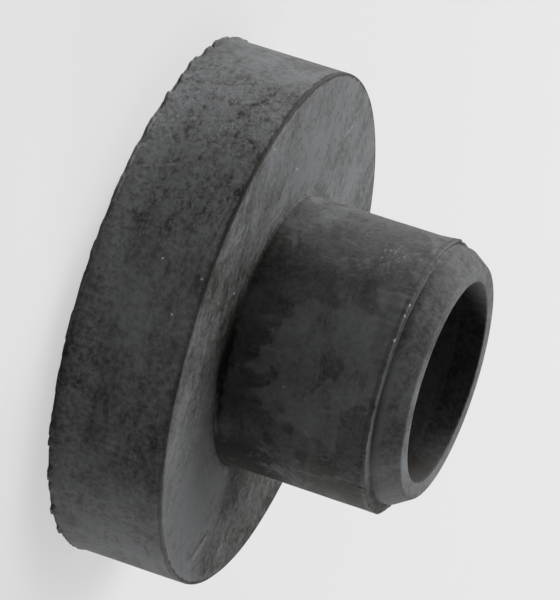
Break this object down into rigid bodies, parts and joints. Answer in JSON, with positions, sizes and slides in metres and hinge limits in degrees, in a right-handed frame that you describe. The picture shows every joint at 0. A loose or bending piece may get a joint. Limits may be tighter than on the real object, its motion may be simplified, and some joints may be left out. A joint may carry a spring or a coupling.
{
  "type": "flanged rubber grommet",
  "caption": "Moulded black rubber sealing grommet: a thick round flange, a hollow neck with a tapered nose and a through bore, with torn moulding flash at its parting lines.",
  "frame": {"origin": "centre of the flange's back face, on the axis of the flange and the neck", "axes": "+Z along the axis from the back face towards the nose; the nose and the bore sit a little off that axis, towards -Y"},
  "size_m": [0.0282, 0.0283, 0.0162],
  "materials": {
    "grommet": "matte moulded rubber with a mottled grey bloom"
  },
  "bodies": {
    "root": {"grommet": "grommet"}
  },
  "joints": []
}
